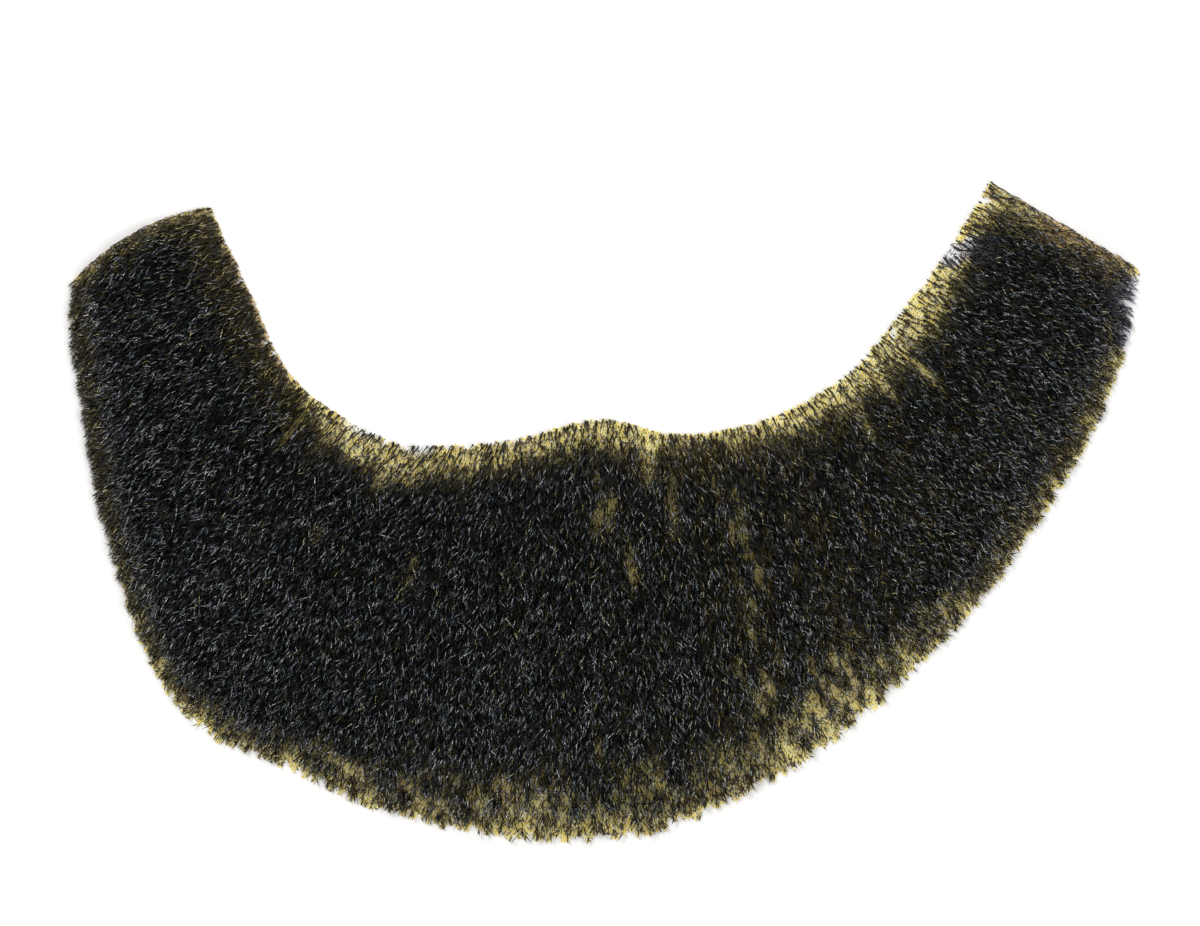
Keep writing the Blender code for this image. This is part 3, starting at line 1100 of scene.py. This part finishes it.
@dataclass(frozen=True)
class Coat:
    """How the hair grows all over the beard. Sizes are in metres and angles in degrees."""

    density: float = 6.1e6
    edge_streaks: Patches = Patches(0.0010, 0.0050, 21)
    hem_streaks: Patches = Patches(0.0007, 0.0036, 22)
    gaps: Patches = Patches(0.0009, 0.0034, 23)
    threads: Patches = Patches(0.0007, 0.0022, 24)
    thinned_hem: float = 0.09
    thinned_gap: float = 0.10
    clump: float = 0.0013
    clump_length: float = 0.0040
    clump_pull: float = 0.22
    hem_pull: float = 0.62
    shortest: float = 0.0027
    longest: float = 0.0054
    thinnest: float = 0.00011
    thickest: float = 0.00017
    hem_width: float = 1.60
    lean: float = 16.0
    sideburn_lean: float = 9.0
    sweep: float = 8.0
    curl: float = 0.22
    root_height: float = 0.0008
    lowest: float = 0.0003
    lift: float = 0.0082
    droop: float = 0.0010
    droop_fade: float = 0.0060
    edge_height: float = 0.16
    edge_rise: float = 0.0160
    hem_height: float = 0.22
    hem_rise: float = 0.0110
    ear_height: float = 0.40
    ear_rise: float = 0.0070
    ear_fades: tuple[float, float] = (0.0070, 0.0150)
    ear_share: float = 0.20
    edge_share: float = 0.03
    root_inset: float = 0.0010
    trim: tuple[float, float] = (1.2, 0.0006)
    longest_overhang: float = 0.0009
    stub: float = 0.0012
    rim_margin: float = 0.0002
    rows: int = 8
    first_row: float = 0.0003
    row_pitch: float = 0.0019
    rows_past_bare: float = 0.0020
    knot_pitch: float = 0.00110
    first_knot_pitch: float = 0.00075
    knot_wander: tuple[float, float] = (0.0004, 0.0005)
    knots_kept: float = 0.74
    loose_kept: float = 0.42
    strand: HairKind = HairKind(2.00, 0.55, 0.85)
    knot_size: float = 0.00030
    knot_height: float = 0.0010
    knot_stretch: float = 1.2
    columns: int = 64


@dataclass(frozen=True)
class Colouring:
    """How the tones are shared out: how much of each, and how far in from the edges it reaches."""

    streaky: float = 1.2
    edge_brown: float = 0.75
    edge_reach: float = 0.0130
    hem_brown: float = 0.78
    hem_reach: float = 0.0090
    ear_brown: float = 0.60
    ear_reach: float = 0.0090
    brown_limits: tuple[float, float] = (0.02, 0.92)
    # Share of slate hairs, whose tips carry the painted glints.
    slate: float = 0.30
    slate_outwards: float = 0.14
    golden: float = 0.20
    golden_at_rims: float = 0.14
    golden_at_partings: float = 0.30
    thick_hem: float = 0.25
    thick_hem_fades: tuple[float, float] = (3.0, 8.0)
    spot_depth: float = 0.35


COAT = Coat()
COLOURING = Colouring()


class HairShapes(NamedTuple):
    """The shapes that hair is made of: a hair of the coat, a strand at the face edge and a knot."""

    coat: Shape
    strand: Shape
    knot: Shape


class Strands(NamedTuple):
    """A crowd of hairs: the line of each, its half width and its place among the tones."""

    lines: Array
    widths: Array
    tones: Array


@dataclass(frozen=True)
class HairZone:
    """The hair between two stations, with the knots that show where it starts at the face."""

    name: str
    node: str
    first: float
    last: float
    seed: int

    def _roots(self, chance: np.random.Generator) -> tuple[Array, Array]:
        """Choose where hairs are tied, evenly over the zone and thinly at its free edges.

        Args:
            chance: The zone's own chances.

        Returns:
            For each hair, its place between stations and its share of the way to the hem.
        """
        probe = np.linspace(self.first, self.last, 60)
        lengths = PATTERN.length(probe)
        ground = [lengths * PATTERN.spread(probe, 0.0 * probe + along) for along in (0.0, 0.5, 1.0)]
        most = max(float(found.max()) for found in ground) * 1.02
        count = int(COAT.density * most * (self.last - self.first))
        number = np.arange(1, count + 1)
        at = self.first + (self.last - self.first) * ((number * SIDEWAYS_STEP + 0.5) % 1.0)
        along = (number * ONWARD_STEP + 0.5) % 1.0
        length = PATTERN.length(at)
        spread = PATTERN.spread(at, along)
        share = length * spread / most
        from_edge = along * length
        bare = np.maximum(PATTERN.bare(at), 0.0005)
        round_edge, round_hem = PATTERN.walked(at)
        streaks = COAT.edge_streaks.read(round_edge, from_edge)
        into = (from_edge - 0.50 * bare) / (0.0020 + 0.75 * bare) + 0.55 * (0.5 - streaks)
        open_share = COAT.edge_share + 0.80 * (1.0 - eased(bare / 0.0050))
        share *= raised(open_share, eased(into))
        for from_ear, fade in zip((at, PATTERN.last - at), COAT.ear_fades):
            share *= raised(COAT.ear_share, eased(from_ear * spread / fade))
        to_hem = (1.0 - along) * length
        held = to_hem / (PATTERN.read("ragged", at) * MILLIMETRE)
        streaks = COAT.hem_streaks.read(round_hem, to_hem)
        share *= raised(COAT.thinned_hem, eased((raised(0.15, held) - streaks) / 0.20))
        gaps = COAT.gaps.read(round_hem, to_hem) - 0.94 + 0.95 * PATTERN.read("tawny", at)
        share *= raised(COAT.thinned_gap, 1.0 - eased(gaps / 0.12))
        share *= to_hem > COAT.root_inset
        kept = chance.random(count) < share
        return at[kept], along[kept]

    def _edge_roots(self, chance: np.random.Generator) -> tuple[Array, Array]:
        """Choose the knots of the rows that show at the face edge.

        Args:
            chance: The zone's own chances.

        Returns:
            For each knot, its place between stations and its share of the way to the hem.
        """
        walk = np.linspace(self.first, self.last, 400)
        edge, _ = PATTERN.ends(walk)
        steps = np.linalg.norm(np.diff(edge, axis=0), axis=1)
        gone = np.concatenate(([0.0], np.cumsum(steps)))
        ats, alongs = [], []
        astray, inwards = COAT.knot_wander
        for row in range(COAT.rows):
            pitch = COAT.knot_pitch if row else COAT.first_knot_pitch
            places = np.arange((0.25 + 0.5 * (row % 2)) * pitch, gone[-1], pitch)
            places = places[chance.random(len(places)) < COAT.knots_kept]
            places = places + chance.normal(0.0, astray, len(places))
            at = np.interp(places, gone, walk)
            depth = COAT.first_row + row * COAT.row_pitch
            depth = depth + np.abs(chance.normal(0.0, inwards, len(at)))
            loose = (depth < PATTERN.frays(at)) & (chance.random(len(at)) > COAT.loose_kept)
            kept = (depth < PATTERN.bare(at) + COAT.rows_past_bare) & ~loose
            ats.append(at[kept])
            alongs.append(depth[kept] / PATTERN.length(at[kept]))
        return np.concatenate(ats), np.concatenate(alongs)

    @staticmethod
    def _height_share(from_edge: Array, from_hem: Array, from_ear: Array) -> Array:
        """Find how much of its full height the coat has.

        Args:
            from_edge: How far each point is from the face edge.
            from_hem: How far it is from the hem.
            from_ear: How far it is from the nearer ear cut.

        Returns:
            The share of the full height there.
        """
        edge = raised(COAT.edge_height, eased(from_edge / COAT.edge_rise))
        hem = raised(COAT.hem_height, eased(from_hem / COAT.hem_rise))
        ear = raised(COAT.ear_height, eased(from_ear / COAT.ear_rise))
        return edge * hem * ear

    def _grown(
        self,
        chance: np.random.Generator,
        at: Array,
        along: Array,
        levels: Array,
        kind: HairKind,
    ) -> Strands:
        """Grow a hair from each root towards the hem.

        Args:
            chance: The zone's own chances.
            at: The roots' places between stations.
            along: Their shares of the way to the hem.
            levels: How far along a hair each of its points is.
            kind: What these hairs are like beside the coat's own.

        Returns:
            The hairs that are left once they are trimmed at the hem.
        """
        count = len(at)
        reach = chance.uniform(COAT.shortest, COAT.longest, count) * kind.reach
        wave = np.sin(at * 9.1 + along * 5.0) + np.sin(at * 21.7 - along * 13.0 + 2.0)
        middle = eased(np.minimum(at, PATTERN.last - at) / 5.0)
        loose = COAT.sideburn_lean + (COAT.lean - COAT.sideburn_lean) * middle
        swept = PATTERN.read("swept", at) + COAT.sweep * 0.5 * wave
        lean = np.radians(chance.normal(0.0, 1.0, count) * loose * kind.loose + swept)
        length = PATTERN.length(at)
        trim = chance.gamma(*COAT.trim, count) + PATTERN.teeth(at) - COAT.longest_overhang
        room = (1.0 - along) * length - trim
        reach = np.minimum(reach, room / np.cos(lean))
        kept = reach > COAT.stub
        at, along, reach, lean, length = (v[kept] for v in (at, along, reach, lean, length))
        count = len(at)
        steps = reach[:, None] * levels[None] ** 1.2
        curl = chance.normal(0.0, COAT.curl * kind.loose, count)[:, None]
        sideways = steps * np.sin(lean)[:, None] + curl * steps * steps / reach[:, None]
        ragged = PATTERN.read("ragged", at) * MILLIMETRE
        near_hem = 1.0 - eased((1.0 - along) * length / (0.5 * ragged))
        sideways = sideways + self._pull(at, along * length, near_hem)[:, None] * levels[None] ** 1.5
        ahead = along[:, None] + steps * np.cos(lean)[:, None] / length[:, None]
        spread = PATTERN.spread(at[:, None] + 0.0 * ahead, ahead)
        margin = COAT.rim_margin / spread
        turned = margin + np.abs(at[:, None] + sideways / spread - margin)
        turned = PATTERN.last - margin - np.abs(PATTERN.last - margin - turned)
        flat = PATTERN.place(turned, ahead)
        from_ear = np.minimum(turned, PATTERN.last - turned) * spread
        from_hem = (1.0 - ahead) * length[:, None]
        tall = self._height_share(ahead * length[:, None], from_hem, from_ear)
        profile = np.interp(levels, (0.0, 0.6, 1.0), (0.0, 0.72, 1.0))
        rise = COAT.lift * chance.uniform(0.05, 1.0, count)[:, None] ** 0.8
        droop = COAT.droop * chance.random(count)[:, None] * levels
        droop = droop * (1.0 - eased(from_hem / COAT.droop_fade))
        high = COAT.root_height + rise * tall * profile - droop
        high = np.maximum(high, COAT.lowest)
        lines = np.concatenate((flat, high[..., None]), axis=2)
        widths = chance.uniform(COAT.thinnest, COAT.thickest, count) * kind.width
        widths = widths * (1.0 + (COAT.hem_width - 1.0) * near_hem)
        tones = self._tones(chance, flat[:, 1], at, along, (1.0 - ahead[:, -1]) * length)
        return Strands(lines, widths, tones)

    @staticmethod
    def _pull(at: Array, from_edge: Array, near_hem: Array) -> Array:
        """Find how far sideways each hair is drawn to the middle of its own clump.

        Args:
            at: The roots' places between stations.
            from_edge: How far they are from the face edge.
            near_hem: How close they are to the hem, from 0 to 1.

        Returns:
            The distance, in metres.
        """
        _, round_hem = PATTERN.walked(at)
        row = np.floor(from_edge / COAT.clump_length)
        place = round_hem / COAT.clump + 0.618 * row
        pull = COAT.clump_pull + (COAT.hem_pull - COAT.clump_pull) * near_hem
        return (np.floor(place) + 0.5 - place) * COAT.clump * pull

    @staticmethod
    def _tones(
        chance: np.random.Generator, places: Array, at: Array, along: Array, to_hem: Array
    ) -> Array:
        """Choose each hair's tone: browner at the free edges, slate in a few spots.

        Args:
            chance: The zone's own chances.
            places: A point of each hair.
            at: The roots' places between stations.
            along: Their shares of the way to the hem.
            to_hem: How far from the hem each tip is.

        Returns:
            A share of the hair map's columns for each hair.
        """
        count = len(places)
        from_edge = along * PATTERN.length(at)
        streak = np.sin(at * 23.0 + 1.5 * np.sin(at * 7.0 + along * 3.0)) * np.sin(at * 9.0 + 4.0)
        brown = PATTERN.read("tawny", at) * (1.0 + COLOURING.streaky * streak)
        brown = brown + COLOURING.edge_brown * (1.0 - eased(from_edge / COLOURING.edge_reach))
        hem = 1.0 - eased(to_hem / COLOURING.hem_reach)
        brown = brown + COLOURING.hem_brown * hem
        from_ear = np.minimum(at, PATTERN.last - at) * PATTERN.spread(at, along)
        ear = 1.0 - eased(from_ear / COLOURING.ear_reach)
        brown = np.clip(brown + COLOURING.ear_brown * ear, *COLOURING.brown_limits)
        start, fade = COLOURING.thick_hem_fades
        ragged = eased((PATTERN.read("ragged", at) - start) / fade)
        light = 1.0 - hem * (1.0 - raised(COLOURING.thick_hem, ragged))
        slate = COLOURING.slate + COLOURING.slate_outwards * eased(along * 1.3)
        slate = slate * (1.0 - brown) * light
        families = {tone: chance.uniform(*tone.value, count) for tone in Tone}
        pick = chance.random(count)
        tones = np.where(pick < brown + slate, families[Tone.SLATE], families[Tone.BLACK])
        tones = np.where(pick < brown, families[Tone.BROWN], tones)
        golden = COLOURING.golden + COLOURING.golden_at_rims * np.maximum(ear, hem)
        golden = golden * brown * light
        tones = np.where(pick < golden, families[Tone.GOLDEN], tones)
        for spot in SLATE_SPOTS:
            middle = np.array((spot.across, spot.up)) * MILLIMETRE
            near = np.linalg.norm(places - middle, axis=1) < spot.radius * MILLIMETRE
            darkest = Tone.SLATE.value[0]
            dark = darkest + COLOURING.spot_depth * (families[Tone.SLATE] - darkest)
            tones = np.where(near, dark, tones)
        return tones

    @staticmethod
    def _parted(chance: np.random.Generator, strands: Strands) -> Strands:
        """Take out most of the hairs that cross a parting, and make some of the rest golden.

        Args:
            chance: The zone's own chances.
            strands: The hairs.

        Returns:
            The hairs that stay.
        """
        flat = strands.lines[..., :2]
        middles = 0.5 * (flat[:, 1:] + flat[:, :-1])
        probes = np.concatenate((flat, middles), axis=1)
        kept = np.ones(len(flat), dtype=bool)
        shown = np.zeros(len(flat))
        crossed = eased(2.3 * COAT.threads.read(flat[:, 0, 0], flat[:, 0, 1]))
        for parting in PARTINGS + SLITS:
            turn = math.radians(parting.turn)
            away = probes - np.array((parting.across, parting.up)) * MILLIMETRE
            run = away[..., 0] * math.cos(turn) + away[..., 1] * math.sin(turn)
            side = away[..., 1] * math.cos(turn) - away[..., 0] * math.sin(turn)
            run /= parting.length * MILLIMETRE / 2.0
            side /= parting.width * MILLIMETRE / 2.0
            depth = np.clip(1.0 - (run * run + side * side).min(axis=1), 0.0, 1.0)
            depth = np.where(parting.share < 1.0, depth * crossed, depth)
            kept &= chance.random(len(flat)) > parting.share * np.sqrt(depth)
            shown = np.maximum(shown, np.sqrt(depth))
        golden = chance.uniform(*Tone.GOLDEN.value, len(flat))
        turned = chance.random(len(flat)) < COLOURING.golden_at_partings * shown
        tones = np.where(turned, golden, strands.tones)
        return Strands(strands.lines[kept], strands.widths[kept], tones[kept])

    @staticmethod
    def _spots(shape: Shape, tones: Array) -> Array:
        """Lay each copy of a shape in its tone's column of the hair map.

        Args:
            shape: The shape.
            tones: A share of the columns for each copy.

        Returns:
            Where every corner of every copy is on the map.
        """
        column = np.clip(np.floor(tones * COAT.columns), 0, COAT.columns - 1)
        across = (column[:, None] + 0.08 + 0.84 * shape.shares[None, :, 0]) / COAT.columns
        up = np.broadcast_to(0.03 + 0.94 * shape.shares[None, :, 1], across.shape)
        return np.stack((across, up), axis=-1)

    def _add(self, swarm: Swarm, chance: np.random.Generator, shape: Shape, strands: Strands) -> None:
        """Add hairs to the zone's swarm, each rolled its own way.

        Args:
            swarm: The zone's swarm.
            chance: The zone's own chances.
            shape: The shape that is laid along each line.
            strands: The hairs.
        """
        rolls = chance.uniform(0.0, math.tau, len(strands.lines))
        points = shape.laid(strands.lines, strands.widths, rolls)
        swarm.add(shape, points, self._spots(shape, strands.tones))

    def build(self, shapes: HairShapes, finish: bpy.types.Material) -> bpy.types.Object:
        """Grow the zone's hair.

        Args:
            shapes: The shapes it is made of.
            finish: The hair's finish.

        Returns:
            The hair, which stands for the zone's plain solid.
        """
        chance = np.random.default_rng(self.seed)
        swarm = Swarm()
        at, along = self._roots(chance)
        strands = self._grown(chance, at, along, shapes.coat.levels, HairKind(1.0, 1.0, 1.0))
        strands = self._parted(chance, strands)
        self._add(swarm, chance, shapes.coat, strands)
        at, along = self._edge_roots(chance)
        strands = self._grown(chance, at, along, shapes.strand.levels, COAT.strand)
        strands = self._parted(chance, strands)
        self._add(swarm, chance, shapes.strand, strands)
        self._add(swarm, chance, shapes.knot, self._knots(chance, at, along, shapes.knot.levels))
        piece = swarm.made(self.name, finish)
        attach(piece, BODY)
        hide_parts(self.node)
        return piece

    def _knots(
        self, chance: np.random.Generator, at: Array, along: Array, levels: Array
    ) -> Strands:
        """Lay a knot at each root, in line with its hairs.

        Args:
            chance: The zone's own chances.
            at: The knots' places between stations.
            along: Their shares of the way to the hem.
            levels: How far along a knot each of its rings is.

        Returns:
            The knots, as short thick lines.
        """
        length = PATTERN.length(at)
        size = COAT.knot_size * chance.uniform(0.8, 1.15, len(at))
        steps = (levels[None] - 1.0) * size[:, None] * COAT.knot_stretch
        ahead = np.maximum(along[:, None] + steps / length[:, None], 0.0)
        flat = PATTERN.place(at[:, None] + 0.0 * ahead, ahead)
        high = np.full((*flat.shape[:2], 1), COAT.knot_height)
        tones = chance.uniform(*Tone.BROWN.value, len(at))
        return Strands(np.concatenate((flat, high), axis=2), size, tones)


ZONES = (
    HairZone("left_sideburn_strands", "left_sideburn_hair", 0.0, 2.0, 101),
    HairZone("left_cheek_strands", "left_cheek_hair", 2.0, 3.6, 102),
    HairZone("left_jaw_strands", "left_jaw_hair", 3.6, 6.2, 103),
    HairZone("chin_strands_left", "chin_hair", 6.2, 7.6, 104),
    HairZone("chin_strands_right", "chin_hair", 7.6, 8.9, 105),
    HairZone("right_jaw_strands", "right_jaw_hair", 8.9, 10.6, 106),
    HairZone("right_cheek_strands", "right_cheek_hair", 10.6, 12.3, 107),
    HairZone("right_sideburn_strands", "right_sideburn_hair", 12.3, 14.0, 108),
)


@dataclass(frozen=True)
class Softbox:
    """A square lamp that looks at the middle of the beard."""

    name: str
    place: tuple[float, float, float]
    size: float
    power: float
    colour: Colour

    def build(self) -> bpy.types.Object:
        """Return the lamp."""
        away = math.hypot(self.place[0], self.place[1])
        bpy.ops.object.light_add(type="AREA", location=self.place)
        lamp = bpy.context.object
        lamp.name = self.name
        lamp.rotation_euler = (
            math.atan2(away, self.place[2]),
            0.0,
            math.atan2(self.place[0], -self.place[1]),
        )
        lamp.data.size = self.size
        lamp.data.energy = self.power
        lamp.data.color = self.colour
        return lamp


@dataclass(frozen=True)
class Studio:
    """The pale floor, the soft light and the camera straight above."""

    floor_size: float = 6.0
    floor_colour: Colour = (0.84, 0.84, 0.84)
    sky_strength: float = 0.52
    focal_length: float = 150.0
    sensor: float = 36.0
    framed_width: float = 0.31404
    camera_across: float = -0.0008
    camera_up: float = 0.0127
    hair_level: float = 0.0020
    lamps: tuple[Softbox, ...] = (
        Softbox("key_lamp", (-0.50, 0.55, 1.05), 0.40, 9.6, (1.00, 0.99, 0.98)),
        Softbox("fill_lamp", (0.65, -0.35, 1.00), 0.60, 5.8, (1.00, 0.99, 0.98)),
    )

    def build(self) -> None:
        """Make the floor, the lamps and the camera."""
        bpy.ops.object.select_all(action="DESELECT")
        bpy.ops.mesh.primitive_plane_add(size=self.floor_size)
        floor = bpy.context.object
        floor.name = "floor"
        shader = Shader("pale_floor", {"Roughness": 0.9, "Specular IOR Level": 0.0})
        shader.feed(shader.surface.inputs["Base Color"], (*self.floor_colour, 1.0))
        floor.data.materials.append(shader.material)
        for lamp in self.lamps:
            lamp.build()
        self._build_sky()
        self._build_camera()

    def _build_sky(self) -> None:
        """Light the scene evenly from all round."""
        sky = bpy.data.worlds.new("pale_sky")
        sky.use_nodes = True
        background = sky.node_tree.nodes["Background"]
        background.inputs["Color"].default_value = (1.0, 1.0, 1.0, 1.0)
        background.inputs["Strength"].default_value = self.sky_strength
        bpy.context.scene.world = sky
        bpy.context.scene.view_settings.view_transform = "Standard"

    def _build_camera(self) -> None:
        """Hang the camera straight above the beard, level with its own frame."""
        above = self.framed_width * self.focal_length / self.sensor + self.hair_level
        bpy.ops.object.camera_add(location=(self.camera_across, self.camera_up, above))
        camera = bpy.context.object
        camera.name = "camera_above"
        camera.rotation_euler = (0.0, 0.0, 0.0)
        camera.data.lens = self.focal_length
        camera.data.sensor_width = self.sensor
        camera.data.sensor_fit = "HORIZONTAL"
        camera.data.clip_end = 20.0
        bpy.context.scene.camera = camera


def triangles(piece: bpy.types.Object) -> int:
    """Return how many triangles a piece has."""
    return len(piece.data.loops) - 2 * len(piece.data.polygons)


def main() -> None:
    """Load the frame, then build the lace, the hair and the studio."""
    logging.basicConfig(level=logging.INFO, format="%(message)s")
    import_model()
    shapes = ShapeMaker()
    lace = LaceFoundation().build(shapes, LaceFinish())
    LOG.info("%s: %d triangles", lace.name, triangles(lace))
    hair = HairShapes(shapes.hair(shapes.coat_bend), shapes.hair(shapes.strand_bend), shapes.knot())
    finish = HairFinish().material()
    for zone in ZONES:
        piece = zone.build(hair, finish)
        LOG.info("%s: %d triangles", piece.name, triangles(piece))
    Studio().build()
    bpy.context.view_layer.update()


if __name__ == "__main__":
    main()
